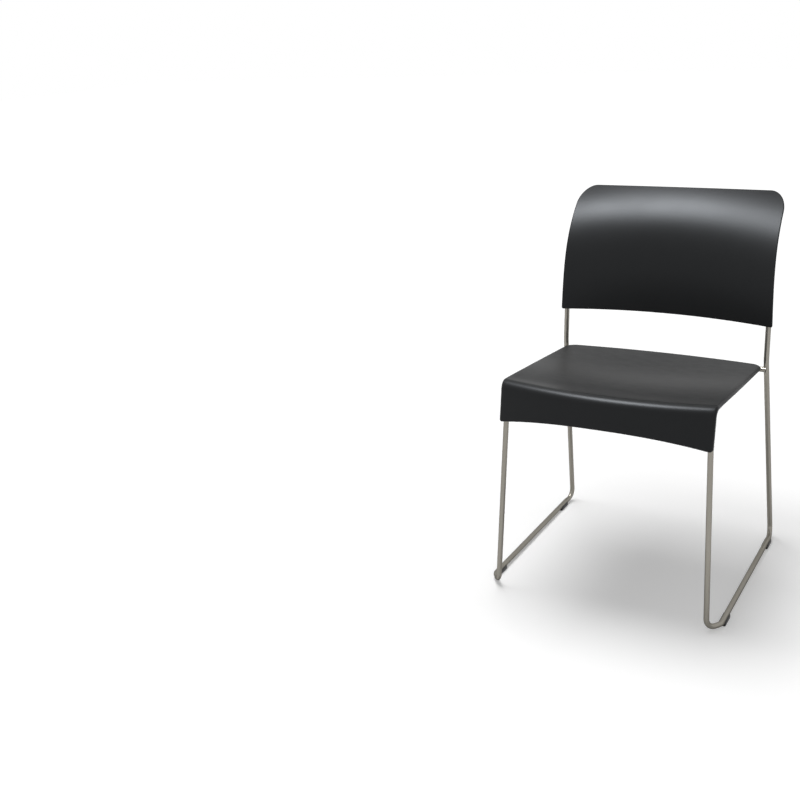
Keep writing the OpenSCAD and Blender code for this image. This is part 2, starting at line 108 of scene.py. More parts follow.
def finishPiece(bm, name, material, cadNodes=(), smoothAngle=40):
    # Turns the bmesh into a piece that rides on the chair and stands for its CAD nodes
    bmesh.ops.recalc_face_normals(bm, faces=bm.faces)
    mesh = bpy.data.meshes.new(name)
    bm.to_mesh(mesh)
    bm.free()
    mesh.shade_smooth()
    mesh.set_sharp_from_angle(angle=radians(smoothAngle))
    mesh.materials.append(material)
    piece = bpy.data.objects.new(name, mesh)
    bpy.context.scene.collection.objects.link(piece)
    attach(piece, "root")
    if cadNodes:
        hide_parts(*cadNodes)
    return piece


camera = {
    "place": (0.7037, -2.1413, 1.1963),
    "turn": (70.151, 3.122, 30.232),
    "lens": 49.28,
    "sensor": 36,
}

studio = {
    "floorSize": 30,
    "floorColour": 0.80,
    "white": 1.0,  # what the camera sees of the world
    "floorWhite": 1.09,  # the level that the floor is topped up to
    "worldFill": 0.32,  # the world's light on the chair
    "aim": (0.0, 0.0, 0.5),
    "overhead": {"place": (-0.62, 0.22, 2.7), "size": (1.4, 1.4), "power": 56},
    "gleam": {"place": (-0.60, -0.567, 2.7), "size": (0.85, 0.75), "power": 77},
}


def addCamera():
    data = bpy.data.cameras.new("camera")
    data.lens = camera["lens"]
    data.sensor_width = camera["sensor"]
    data.clip_end = 100
    eye = bpy.data.objects.new("camera", data)
    eye.location = camera["place"]
    eye.rotation_euler = [radians(angle) for angle in camera["turn"]]
    bpy.context.scene.collection.objects.link(eye)
    bpy.context.scene.camera = eye


def seenDirectly(tree):
    # 1 for rays that show the background itself: camera, glossy and transmission rays
    path = newNode(tree, "ShaderNodeLightPath")
    first = newNode(tree, "ShaderNodeMath", operation="MAXIMUM")
    second = newNode(tree, "ShaderNodeMath", operation="MAXIMUM")
    linkNodes(
        tree,
        (path.outputs["Is Camera Ray"], first.inputs[0]),
        (path.outputs["Is Glossy Ray"], first.inputs[1]),
        (first.outputs[0], second.inputs[0]),
        (path.outputs["Is Transmission Ray"], second.inputs[1]),
    )
    return second.outputs[0]


def addWorld():
    world = bpy.data.worlds.new("studio")
    bpy.context.scene.world = world
    world.use_nodes = True
    tree = world.node_tree
    background = tree.nodes["Background"]
    background.inputs["Color"].default_value = (1, 1, 1, 1)
    strength = spread(tree, seenDirectly(tree), studio["worldFill"], studio["white"])
    linkNodes(tree, (strength, background.inputs["Strength"]))


def addFloor():
    bm = bmesh.new()
    bmesh.ops.create_grid(bm, x_segments=1, y_segments=1, size=studio["floorSize"] / 2)
    mesh = bpy.data.meshes.new("floor")
    bm.to_mesh(mesh)
    bm.free()
    floor = bpy.data.objects.new("floor", mesh)
    bpy.context.scene.collection.objects.link(floor)
    mesh.materials.append(whiteFloor())


def whiteFloor():
    # A pale floor that is topped up to white where the softbox's light falls off, and keeps its shadows
    shade, power = studio["floorColour"], studio["overhead"]["power"]
    lamp = Vector(studio["overhead"]["place"])
    aim = (Vector(studio["aim"]) - lamp).normalized()
    material, tree, shader = newMaterial("paleFloor", Roughness=1.0)
    shader.inputs["Base Color"].default_value = (shade, shade, shade, 1)
    shader.inputs["Specular IOR Level"].default_value = 0
    shader.inputs["Emission Color"].default_value = (1, 1, 1, 1)
    place = newNode(tree, "ShaderNodeTexCoord").outputs["Object"]
    ray = newNode(tree, "ShaderNodeVectorMath", operation="SUBTRACT")
    ray.inputs[1].default_value = lamp
    distance = newNode(tree, "ShaderNodeVectorMath", operation="LENGTH")
    facing = newNode(tree, "ShaderNodeVectorMath", operation="DOT_PRODUCT")
    facing.inputs[1].default_value = aim
    # A softbox's light on a flat floor falls with the fourth power of the distance
    falloff = newNode(tree, "ShaderNodeMath", operation="POWER")
    falloff.inputs[1].default_value = 4
    lit = newNode(tree, "ShaderNodeMath", operation="DIVIDE")
    level = newNode(tree, "ShaderNodeMath", operation="MULTIPLY_ADD", use_clamp=True)
    level.inputs[1].default_value = -shade * power * lamp.z / pi ** 2
    level.inputs[2].default_value = studio["floorWhite"] - shade * studio["worldFill"]
    seen = newNode(tree, "ShaderNodeMath", operation="MULTIPLY")
    linkNodes(
        tree,
        (place, ray.inputs[0]),
        (ray.outputs["Vector"], distance.inputs[0]),
        (ray.outputs["Vector"], facing.inputs[0]),
        (distance.outputs["Value"], falloff.inputs[0]),
        (facing.outputs["Value"], lit.inputs[0]),
        (falloff.outputs[0], lit.inputs[1]),
        (lit.outputs[0], level.inputs[0]),
        (level.outputs[0], seen.inputs[0]),
        (seenDirectly(tree), seen.inputs[1]),
        (seen.outputs[0], shader.inputs["Emission Strength"]),
    )
    return material


def addSoftbox(name):
    box = studio[name]
    data = bpy.data.lights.new(name, "AREA")
    data.shape = "RECTANGLE"
    data.size, data.size_y = box["size"]
    data.energy = box["power"]
    lamp = bpy.data.objects.new(name, data)
    lamp.location = box["place"]
    towards = Vector(studio["aim"]) - lamp.location
    lamp.rotation_euler = towards.to_track_quat("-Z", "Y").to_euler()
    bpy.context.scene.collection.objects.link(lamp)
    return lamp


addCamera()
addWorld()
addFloor()
addSoftbox("overhead").visible_glossy = False  # lights the floor and the shell evenly
addSoftbox("gleam").visible_diffuse = False  # gives the gloss on the shells and rods
bpy.context.scene.view_settings.view_transform = "Standard"
print("camera, floor and light ready")


plastic = {
    "dark": (0.0044, 0.0043, 0.0042),
    "light": (0.0077, 0.0076, 0.0074),
    "gloss": (0.89, 0.94, 1.0, 1),
    "back": {"roughness": (0.36, 0.40), "specular": 0.24},
    "seat": {"roughness": (0.35, 0.39), "specular": 0.22, "worn": (0.53, 0.59)},
    "grainFineness": 1100,
    "grainDepth": 0.00003,
    "clouding": 9,
    "scuffs": (38, 60, 38),
}

steel = {
    "dark": (0.228, 0.214, 0.187),
    "light": (0.316, 0.300, 0.265),
    "edge": (0.36, 0.36, 0.36, 1),
    "roughness": (0.24, 0.38),
    "lines": (900, 900, 14),
    "lineRange": (0.25, 0.75),
    "clouds": (60, 60, 7),
    "lineDepth": 0.00004,
}

# The small parts' finishes: tones, roughness, and the fineness and depth of the grain
smallParts = {
    "weldBead": {
        "tones": ((0.20, 0.19, 0.17), (0.42, 0.41, 0.38)),
        "roughness": (0.25, 0.45), "grain": (1500, 0.0001), "metallic": 1.0,
    },
    "tabPlate": {
        "tones": ((0.24, 0.235, 0.22), (0.34, 0.335, 0.315)),
        "roughness": (0.3, 0.45), "grain": (900, 0.00005), "metallic": 1.0,
    },
    "brightPlating": {
        "tones": ((0.42, 0.42, 0.40), (0.58, 0.58, 0.56)),
        "roughness": (0.22, 0.36), "grain": (900, 0.00004), "metallic": 1.0,
    },
    "blackNylon": {
        "tones": ((0.006, 0.006, 0.006), (0.016, 0.015, 0.014)),
        "roughness": (0.45, 0.62), "grain": (800, 0.00012), "metallic": 0.0,
    },
    "blackRubber": {
        "tones": ((0.006, 0.006, 0.006), (0.012, 0.012, 0.012)),
        "roughness": (0.6, 0.8), "grain": (1200, 0.0001), "metallic": 0.0,
    },
}

noiseRange = (0.3, 0.7)  # where most of a noise's values lie


def mouldedPlastic(name, finish):
    # Charcoal plastic with cloudy tone and a fine grain; on the seat, the rolled front edge is rubbed
    # smoother
    material, tree, shader = newMaterial(name, **{"Specular IOR Level": finish["specular"]})
    shader.inputs["Specular Tint"].default_value = plastic["gloss"]
    place = newNode(tree, "ShaderNodeTexCoord").outputs["Object"]
    clouds = noiseAt(tree, place, plastic["clouding"], 5, 0.6)
    grain = noiseAt(tree, place, plastic["grainFineness"], 3, 0.6)
    colour = colourBetween(tree, clouds, plastic["dark"], plastic["light"])
    gloss = spread(tree, clouds, *finish["roughness"], *noiseRange)
    if "worn" in finish:
        # The sitting area is duller than the rolled front edge
        top = newNode(tree, "ShaderNodeAttribute", attribute_name="sitting").outputs["Fac"]
        scuffs = noiseAt(tree, stretched(tree, place, plastic["scuffs"]), 1, 4, 0.6)
        dull = spread(tree, scuffs, *finish["worn"], *noiseRange)
        blend = newNode(tree, "ShaderNodeMix", data_type="FLOAT")
        linkNodes(tree, (top, blend.inputs[0]), (gloss, blend.inputs[2]), (dull, blend.inputs[3]))
        gloss = blend.outputs[0]
    linkNodes(
        tree,
        (colour, shader.inputs["Base Color"]),
        (gloss, shader.inputs["Roughness"]),
        (bumped(tree, grain, 0.6, plastic["grainDepth"]), shader.inputs["Normal"]),
    )
    return material


def drawnSteel():
    # Fine lines run along the rod, in the coordinates of the rod before it was bent
    material, tree, shader = newMaterial("satinSteel", Metallic=1.0)
    shader.inputs["Specular Tint"].default_value = steel["edge"]
    straight = newNode(tree, "ShaderNodeAttribute", attribute_name="rodSpace").outputs["Vector"]
    lines = noiseAt(tree, stretched(tree, straight, steel["lines"]), 1, 3, 0.65)
    clouds = noiseAt(tree, stretched(tree, straight, steel["clouds"]), 1, 3)
    linkNodes(
        tree,
        (colourBetween(tree, clouds, steel["dark"], steel["light"]), shader.inputs["Base Color"]),
        (spread(tree, lines, *steel["roughness"], *steel["lineRange"]), shader.inputs["Roughness"]),
        (bumped(tree, lines, 0.5, steel["lineDepth"]), shader.inputs["Normal"]),
    )
    return material


def mottled(name):
    # A fine grain under clouds of tone and gloss six times its size
    finish = smallParts[name]
    fineness, depth = finish["grain"]
    material, tree, shader = newMaterial(name, Metallic=finish["metallic"])
    place = newNode(tree, "ShaderNodeTexCoord").outputs["Object"]
    clouds = noiseAt(tree, place, fineness / 6, 4, 0.6)
    grain = noiseAt(tree, place, fineness, 3, 0.6)
    linkNodes(
        tree,
        (colourBetween(tree, clouds, *finish["tones"]), shader.inputs["Base Color"]),
        (spread(tree, clouds, *finish["roughness"], *noiseRange), shader.inputs["Roughness"]),
        (bumped(tree, grain, 0.4, depth), shader.inputs["Normal"]),
    )
    return material


backPlastic = mouldedPlastic("charcoalBackPlastic", plastic["back"])
seatPlastic = mouldedPlastic("charcoalSeatPlastic", plastic["seat"])
rodSteel = drawnSteel()
weldSteel = mottled("weldBead")
tabSteel = mottled("tabPlate")
screwSteel = mottled("brightPlating")
glidePlastic = mottled("blackNylon")
bufferRubber = mottled("blackRubber")
print("materials ready")

layout = {
    "height": 0.788,
    "depth": 0.510,
    "rodDiameter": 0.011,
    "runnerX": 0.2465,
    "glideSole": 0.004,
    "seatWidth": 0.441,
    "seatHeight": 0.465,
    "seatDrop": 0.029,
    "seatWall": 0.0045,
    "frontSag": 0.0035,
    "rearSag": 0.0,
    "dish": 0.005,
    "railGap": 0.0004,
    "railInset": 0.002,
    "railTaper": 0.007,
    "backWidth": 0.471,
    "backHeight": 0.267,
    "backWall": 0.0045,
    "backLean": 0.009,
    "backSweep": 0.110,
    "sweepPower": 3.4,
    "bottomBow": 0.025,
    "topBow": -0.005,
    "bowPower": 1.8,
    "topCrown": 0.0015,
    "topCorner": 0.036,
    "backTaper": 0.016,
    "pocketSide": 0.0051,
    "pocketWall": 0.0028,
    "pocketGap": 0.0001,
    "pocketHeight": 0.084,
    "pocketEnd": 0.005,
}

rodRadius = layout["rodDiameter"] / 2
chairTop = layout["height"]
halfDepth = layout["depth"] / 2
seatWall = layout["seatWall"]
seatHalf = layout["seatWidth"] / 2

# Backrest: the front face's lower corner, from the rearmost point of the top edge
topSlope = atan((layout["backLean"] + layout["sweepPower"] * layout["backSweep"]) / layout["backHeight"])
topFlat = (layout["backWidth"] - layout["backTaper"]) / 2 - layout["topCorner"]
topReach = layout["topBow"] * (1 - (2 * topFlat / layout["backWidth"]) ** 2)
backFootZ = chairTop - layout["backHeight"] - layout["topCrown"]
backRearY = halfDepth - layout["backWall"] * cos(topSlope) - topReach
backFootY = backRearY - layout["backLean"] - layout["backSweep"]

# Uprights, in the pockets behind the backrest's lower corners
pocketX = layout["backWidth"] / 2 - layout["pocketSide"] - layout["pocketGap"] - rodRadius
pocketDepth = layout["pocketWall"] + layout["pocketGap"] + rodRadius
pocketBow = layout["bottomBow"] * (1 - (2 * pocketX / layout["backWidth"]) ** 2)
pocketY = backFootY + pocketBow + pocketDepth

bends = {
    "foot": 0.020,
    "rail": 0.028,
    "upright": 0.090,
    "frontTurn": 0.024,
    "rearTurn": 0.036,
    "frontFlare": 0.0215,
    "frontTurnLength": 0.029,
    "rearFlare": 0.0045,
    "rearTurnLength": 0.034,
    "rearLegRake": 0.077,
    "bendRise": 0.018,
    "uprightLean": 3,
    "uprightSplay": 0.0015,
    "frontLegRake": 0.033,
    "crossSet": 0.006,
    "seatSet": 0.0245,
    "seatTail": 0.001,
    "frontCrossBack": 0.062,
}

frontLegY = -halfDepth + rodRadius
seatFrontY = frontLegY + bends["seatSet"]
crossDrop = seatWall + layout["rearSag"] + layout["railGap"] + rodRadius
crossZ = layout["seatHeight"] - layout["seatDrop"] - crossDrop
bendZ = crossZ + bends["bendRise"]
bendY = pocketY - (backFootZ - bendZ) * tan(radians(bends["uprightLean"]))
bendX = pocketX + bends["uprightSplay"]
floorRodZ = layout["glideSole"] + rodRadius
rearLegY = bendY + bends["rearLegRake"]
runnerX = layout["runnerX"]
rearLegX = runnerX - bends["rearFlare"]

# The rear leg beside the rear cross rod
crossShare = bends["bendRise"] / (bendZ - floorRodZ)
crossY = bendY + bends["rearLegRake"] * crossShare - bends["crossSet"]
crossX = bendX + (rearLegX - bendX) * crossShare
seatRearY = crossY + bends["seatTail"]
seatDepth = seatRearY - seatFrontY
seatSlope = atan(layout["seatDrop"] / seatDepth)
seatLength = seatDepth / cos(seatSlope)
railDrop = seatWall + layout["railGap"] + rodRadius
railX = seatHalf - seatWall - layout["railInset"] - rodRadius
railEnd = (crossY - seatFrontY) / cos(seatSlope)


def seatPoint(x, back, up):
    # A point at x, a distance back along the seat's side plane and up from it
    return Vector((
        x,
        seatFrontY + back * cos(seatSlope) + up * sin(seatSlope),
        layout["seatHeight"] - back * sin(seatSlope) + up * cos(seatSlope),
    ))


def railPoint(back):
    return seatPoint(railX - layout["railTaper"] * back / railEnd, back, -railDrop)


railFront = (frontLegY + bends["frontLegRake"] - seatFrontY + railDrop * sin(seatSlope)) / cos(seatSlope)
uprightTop = backFootZ + layout["pocketHeight"] - layout["pocketEnd"]
rodPath = [
    Vector((pocketX, bendY + (uprightTop - bendZ) * tan(radians(bends["uprightLean"])), uprightTop)),
    Vector((bendX, bendY, bendZ)),
    Vector((rearLegX, rearLegY, floorRodZ)),
    Vector((runnerX, rearLegY - bends["rearTurnLength"], floorRodZ)),
    Vector((runnerX, frontLegY + bends["frontTurnLength"], floorRodZ)),
    Vector((runnerX - bends["frontFlare"], frontLegY, floorRodZ)),
    railPoint(railFront),
    railPoint(railEnd),
]
rodBends = [0] + [bends[name] for name in ("upright", "foot", "rearTurn", "frontTurn", "foot", "rail")] + [0]
rodMesh = {"sides": 36, "degreesPerStep": 6}


def extrudeEdges(bm, edges):
    # Gives the new vertices and the new edges between them
    made = bmesh.ops.extrude_edge_only(bm, edges=edges)["geom"]
    verts = [item for item in made if isinstance(item, bmesh.types.BMVert)]
    fresh = set(verts)
    return verts, [e for e in made if isinstance(e, bmesh.types.BMEdge) and set(e.verts) <= fresh]


def ringEdges(verts):
    chosen = set(verts)
    return [edge for edge in {e for v in verts for e in v.link_edges} if set(edge.verts) <= chosen]


def markAlong(ring, space, along):
    for v in ring:
        v[space] = (v[space].x, v[space].y, along)


def pullRing(bm, ring, space, shift, along):
    ring = extrudeEdges(bm, ringEdges(ring))[0]
    bmesh.ops.translate(bm, verts=ring, vec=shift)
    markAlong(ring, space, along)
    return ring


def turnRing(bm, ring, space, centre, axis, angle, radius, along):
    count = max(2, round(abs(angle) / radians(rodMesh["degreesPerStep"])))
    for _ in range(count):
        last = bmesh.ops.spin(
            bm, geom=ringEdges(ring), cent=centre, axis=axis, angle=angle / count, steps=1,
            use_duplicate=False,
        )["geom_last"]
        ring = [item for item in last if isinstance(item, bmesh.types.BMVert)]
        along += radius * angle / count
        markAlong(ring, space, along)
    return ring, along


def bentRod(path, radii, radius):
    # A round rod, bent at each inner point of its path: extruded straight, then spun round each bend
    bm = bmesh.new()
    space = bm.verts.layers.float_vector.new("rodSpace")
    ring = bmesh.ops.create_circle(bm, radius=radius, segments=rodMesh["sides"])["verts"]
    for v in ring:
        v[space] = (v.co.x, v.co.y, 0)
    heading = (path[1] - path[0]).normalized()
    turn = Vector((0, 0, 1)).rotation_difference(heading).to_matrix().to_4x4()
    bmesh.ops.transform(bm, matrix=Matrix.Translation(path[0]) @ turn, verts=ring)
    here, along = path[0], 0.0
    bmesh.ops.contextual_create(bm, geom=ringEdges(ring))
    for i in range(1, len(path)):
        way = (path[i] - path[i - 1]).normalized()
        stop = path[i]
        if i < len(path) - 1:
            onward = (path[i + 1] - path[i]).normalized()
            angle = way.angle(onward)
            stop = path[i] - way * radii[i] * tan(angle / 2)
        along += (stop - here).length
        ring = pullRing(bm, ring, space, stop - here, along)
        if i < len(path) - 1:
            axis = way.cross(onward).normalized()
            centre = stop + axis.cross(way) * radii[i]
            ring, along = turnRing(bm, ring, space, centre, axis, angle, radii[i], along)
            here = path[i] + onward * radii[i] * tan(angle / 2)
    bmesh.ops.contextual_create(bm, geom=ringEdges(ring))
    return bm


def mirrored(points, side):
    return [Vector((side * p.x, p.y, p.z)) for p in points]


def crossRod(end):
    return bentRod(mirrored([end], -1) + [end], [0, 0], rodRadius)


sides = {"left": 1, "right": -1}
for sideName, side in sides.items():
    rod = bentRod(mirrored(rodPath, side), rodBends, rodRadius)
    finishPiece(rod, sideName + "SideRod", rodSteel, [sideName + "_side_rod"])

rearCrossEnd = Vector((crossX, crossY, crossZ))
finishPiece(crossRod(rearCrossEnd), "rearCrossRod", rodSteel, ["rear_cross_rod"])

frontCrossDrop = railDrop + layout["frontSag"] + layout["dish"] / 2
frontCrossEnd = seatPoint(railPoint(bends["frontCrossBack"]).x, bends["frontCrossBack"], -frontCrossDrop)
finishPiece(crossRod(frontCrossEnd), "frontCrossRod", rodSteel, ["front_cross_rod"])
print("rods ready")


def spacedGrid(bm, columns, rows):
    # A grid whose vertices know their column and row
    verts = bmesh.ops.create_grid(bm, x_segments=columns - 1, y_segments=rows - 1, size=1)["verts"]
    return [(v, round((v.co.x + 1) / 2 * (columns - 1)), round((v.co.y + 1) / 2 * (rows - 1))) for v in verts]


def rimGuide(edges):
    # For each vertex of a rim: its place, the way out of the sheet and the way up from it
    guide = {}
    rim = set(edges)
    for v in {v for e in edges for v in e.verts}:
        ways = [(e.other_vert(v).co - v.co).normalized() for e in v.link_edges if e in rim]
        along = ways[0] - ways[1] if len(ways) == 2 else ways[0]
        out = along.cross(v.normal).normalized()
        inside = sum((f.calc_center_median() for f in v.link_faces), Vector()) / len(v.link_faces) - v.co
        guide[v] = (v.co.copy(), -out if out.dot(inside) > 0 else out, v.normal.copy())
    return guide


def pushRim(bm, edges, guide, outward, depth):
    # Extrudes a rim and moves it outward, and down by depth(vertex)
    fresh, edges = extrudeEdges(bm, edges)
    carried = {}
    for v in fresh:
        start = next(e.other_vert(v) for e in v.link_edges if e.other_vert(v) in guide)
        carried[v] = guide[start]
        place, out, up = guide[start]
        v.co = place + out * outward - up * depth(v)
    return edges, carried


def steps(count):
    return [i / count for i in range(1, count + 1)]


def sharpEdges(bm, degrees):
    return [e for e in bm.edges if e.is_manifold and e.calc_face_angle() > radians(degrees)]


def roundEdges(bm, edges, radius, segments):
    bmesh.ops.bevel(
        bm, geom=edges, offset=radius, segments=segments, profile=0.5, affect="EDGES", material=-1,
    )


def ease(value):
    # From 0 to 1 with soft ends
    share = max(0.0, min(1.0, value))
    return (1 - cos(pi * share)) / 2


seat = {
    "bendRadius": 0.020,
    "apronHeight": 0.087,
    "apronLean": 0.015,
    "apronArch": 0.019,
    "archPower": 2.3,
    "rearBow": 0.024,
    "sideBow": 0.001,
    "edgeRadius": 0.0055,
    "rearCorner": 0.024,
    "lowerCorner": 0.008,
    "lowerCornerReach": 0.030,
    "lowerCornerFade": 1.5,
    "rearLip": 0.0062,
    "sideLip": 0.007,
    "apronLip": 0.012,
    "rim": 0.0011,
    "sittingBlend": 0.05,
    "polish": 0.75,
    "polishPlace": 0.42,
    "polishReach": 0.26,
    "columns": 57,
    "topRows": 30,
    "cornerRows": 10,
    "bendRows": 16,
    "apronRows": 22,
    "apronCrowding": 1.3,  # above 1, the apron's rows lie closer at its foot
    "edgeSteps": 7,
    "lipSteps": 2,
    "rimSteps": 3,
}

lean = atan(seat["apronLean"] / seat["apronHeight"])
bendAngle = pi / 2 - lean + seatSlope
bendSetback = seat["bendRadius"] * tan(bendAngle / 2)
archedHeight = seat["apronHeight"] - seat["apronArch"] - layout["frontSag"]
frontBow = seatFrontY + halfDepth - seat["apronLean"] * archedHeight / seat["apronHeight"]
seatRun = seatDepth - bendSetback * cos(seatSlope)


def apronFootZ(x):
    arch = seat["apronArch"] * (1 - min(1, abs(x) / seatHalf) ** seat["archPower"])
    return layout["seatHeight"] - seat["apronHeight"] + arch


def dishAt(across, share):
    return layout["dish"] * across ** 2 * 16 * (share * (1 - share)) ** 2


def bowedHalf(back, half):
    # Half the seat's width at a share of the way back
    return half + seat["sideBow"] * 4 * back * (1 - back)


def seatSheet(x, part, share):
    # A point of the seat's outer surface: a share of the way back, round the bend or down the apron
    across = 1 - (x / seatHalf) ** 2
    cornerY = seatFrontY - frontBow * across
    cornerZ = layout["seatHeight"] - layout["frontSag"] * across
    if part == "apron":
        startY = cornerY - bendSetback * sin(lean)
        startZ = cornerZ - bendSetback * cos(lean)
        drop = (startZ - apronFootZ(x)) * share
        return Vector((x, startY - drop * tan(lean), startZ - drop))
    startY = cornerY + bendSetback * cos(seatSlope)
    startZ = cornerZ - bendSetback * sin(seatSlope)
    if part == "bend":
        radius = seat["bendRadius"]
        angle = pi / 2 - seatSlope + bendAngle * share
        return Vector((
            x,
            startY - radius * sin(seatSlope) + radius * cos(angle),
            startZ - radius * cos(seatSlope) + radius * sin(angle),
        ))
    run = (seatRearY + seat["rearBow"] * across - startY) * share
    sink = (layout["rearSag"] - layout["frontSag"]) * across * share + dishAt(across, share)
    return Vector((x, startY + run, startZ - run * tan(seatSlope) - sink))


def seatRows():
    # Rows from the apron's foot to the rear edge: part, share, half width and lip depth
    flatHalf = seatHalf - seat["edgeRadius"]
    lipGain = seat["apronLip"] - seat["sideLip"]
    rows = []
    for share in [0] + steps(seat["apronRows"]):
        rows.append(("apron", 1 - share ** seat["apronCrowding"], flatHalf, seat["apronLip"]))
    for share in reversed(steps(seat["bendRows"])[:-1]):
        rows.append(("bend", share, flatHalf, seat["sideLip"] + lipGain * share))
    inner = seat["rearCorner"] - seat["edgeRadius"]
    cornerShare = 1 - seat["rearCorner"] / seatRun
    for share in [0] + steps(seat["topRows"]):
        back = cornerShare * share
        rows.append(("top", back, bowedHalf(back, flatHalf), seat["sideLip"]))
    for share in steps(seat["cornerRows"]):
        turn = share * pi / 2
        back = 1 - (seat["edgeRadius"] + inner * (1 - sin(turn))) / seatRun
        half = bowedHalf(back, flatHalf) - inner * (1 - cos(turn))
        rows.append(("top", back, half, seat["sideLip"] + (seat["rearLip"] - seat["sideLip"]) * share))
    return rows


def liftLowerCorners(bm):
    # Rounds the apron's two lower corners by pulling them up along it
    radius, reach = seat["lowerCorner"], seat["lowerCornerReach"]
    for v in bm.verts:
        past = abs(v.co.x) - (seatHalf - radius)
        height = v.co.z - apronFootZ(v.co.x)
        if past > 0 and height < reach:
            rise = radius - sqrt(max(0, radius ** 2 - past ** 2))
            rise *= max(0, min(1, 1 - height / reach)) ** seat["lowerCornerFade"]
            v.co.z += rise
            v.co.y += rise * tan(lean)


def onApronFoot(edge):
    return all(abs(v.co.z - apronFootZ(v.co.x)) < 1e-6 for v in edge.verts)


def shellSeat():
    bm = bmesh.new()
    lip = bm.verts.layers.float.new("lip")
    sitting = bm.verts.layers.float.new("sitting")
    rows = seatRows()
    last = seat["columns"] - 1
    for v, i, j in spacedGrid(bm, seat["columns"], len(rows)):
        part, share, half, lipDepth = rows[j]
        v.co = seatSheet(half * (2 * i / last - 1), part, share)
        v[lip] = lipDepth
        rubbed = seat["polish"] * exp(-((share - seat["polishPlace"]) / seat["polishReach"]) ** 2)
        v[sitting] = ease((v.co.y - seatFrontY) / seat["sittingBlend"]) * (1 - rubbed) if part == "top" else 0
    bm.normal_update()
    rim = [e for e in bm.edges if e.is_boundary and not onApronFoot(e)]
    guide = rimGuide(rim)
    radius = seat["edgeRadius"]
    for share in steps(seat["edgeSteps"]):
        angle = share * pi / 2
        down = radius * (1 - cos(angle))
        rim, guide = pushRim(bm, rim, guide, radius * sin(angle), lambda v: down)
    for share in steps(seat["lipSteps"]):
        rim, guide = pushRim(bm, rim, guide, radius, lambda v: radius + (v[lip] - radius) * share)
    liftLowerCorners(bm)
    bm.normal_update()
    bmesh.ops.solidify(bm, geom=bm.faces[:], thickness=seatWall)
    bmesh.ops.recalc_face_normals(bm, faces=bm.faces)
    roundEdges(bm, sharpEdges(bm, 60), seat["rim"], seat["rimSteps"])
    return bm


seatBm = shellSeat()

# What holds the seat: four bosses under the shell, screwed to four tabs on the rails
fixings = {
    "bossRadius": 0.0075,
    "bossHeight": 0.008,
    "bossRoot": 0.0022,
    "bossRib": (0.0018, 0.0215, 0.0034),
    "ribSink": 0.001,
    "tabThickness": 0.003,
    "tabWidth": 0.024,
    "tabReach": 0.017,
    "tabClear": 0.005,
    "tabCorner": 0.005,
    "tabCornerSteps": 6,
    "edge": 0.0004,
    "edgeSteps": 2,
    "rootSteps": 5,
}

seatPlane = Matrix.Translation((0, seatFrontY, layout["seatHeight"])) @ Matrix.Rotation(-seatSlope, 4, "X")


def seatSag(x, distance):
    # How far the seat's top lies below its side plane
    across = 1 - (x / seatHalf) ** 2
    share = distance / seatLength
    sag = layout["frontSag"] + (layout["rearSag"] - layout["frontSag"]) * share
    return sag * across + dishAt(across, share)


def bossPlace(distance):
    # The middle of a left boss's foot, in the seat plane's own directions
    x = railPoint(distance).x - fixings["tabReach"]
    return Vector((x, distance, -(seatSag(x, distance) + seatWall / 2 + fixings["bossHeight"])))


def flipped(side):
    return Matrix.Scale(side, 4, (1, 0, 0))


def addCopy(bm, shape, matrix):
    # Adds a placed copy of one shape to another
    mesh = bpy.data.meshes.new("copy")
    shape.to_mesh(mesh)
    mesh.transform(matrix)
    bm.from_mesh(mesh)
    bpy.data.meshes.remove(mesh)


def revolved(profile, segments=36):
    # A run of (radius, height) points spun a full turn round Z
    bm = bmesh.new()
    verts = [bm.verts.new((radius, 0, height)) for radius, height in profile]
    edges = [bm.edges.new(pair) for pair in zip(verts, verts[1:])]
    bmesh.ops.spin(
        bm, geom=verts + edges, cent=(0, 0, 0), axis=(0, 0, 1), angle=2 * pi, steps=segments, use_merge=True
    )
    bmesh.ops.remove_doubles(bm, verts=bm.verts, dist=1e-6)
    return bm


def block(size, place):
    bm = bmesh.new()
    bmesh.ops.create_cube(bm, size=1)
    bmesh.ops.scale(bm, vec=size, verts=bm.verts)
    bmesh.ops.translate(bm, vec=place, verts=bm.verts)
    return bm


def seatBoss():
    radius, root, edge = fixings["bossRadius"], fixings["bossRoot"], fixings["edge"]
    top = fixings["bossHeight"] - seatWall / 2
    profile = [(0, 0), (radius - edge, 0), (radius, edge), (radius, top - root)]
    for share in steps(fixings["rootSteps"]):
        angle = share * pi / 2
        profile.append((radius + root * (1 - cos(angle)), top - root * (1 - sin(angle))))
    profile += [(radius + root, fixings["bossHeight"]), (0, fixings["bossHeight"])]
    boss = revolved(profile)
    thick, length, height = fixings["bossRib"]
    for size in ((thick, length, height), (length, thick, height)):
        rib = block(size, (0, 0, fixings["bossHeight"] - fixings["ribSink"] - height / 2))
        roundEdges(rib, rib.edges[:], fixings["edge"], fixings["edgeSteps"])
        addCopy(boss, rib, Matrix())
        rib.free()
    return boss


fixingDistances = {
    "front": bends["frontCrossBack"] + rodRadius + fixings["tabWidth"] / 2 + fixings["tabClear"],
    "rear": railEnd - rodRadius - fixings["tabWidth"] / 2 - fixings["tabClear"],
}
fixingPlaces = {
    (end, sideName): flipped(side) @ seatPlane @ Matrix.Translation(bossPlace(distance))
    for end, distance in fixingDistances.items() for sideName, side in sides.items()
}

boss = seatBoss()
for matrix in fixingPlaces.values():
    addCopy(seatBm, boss, matrix)
boss.free()
finishPiece(seatBm, "seatShell", seatPlastic, ["seat_shell"])
print("seat shell ready")


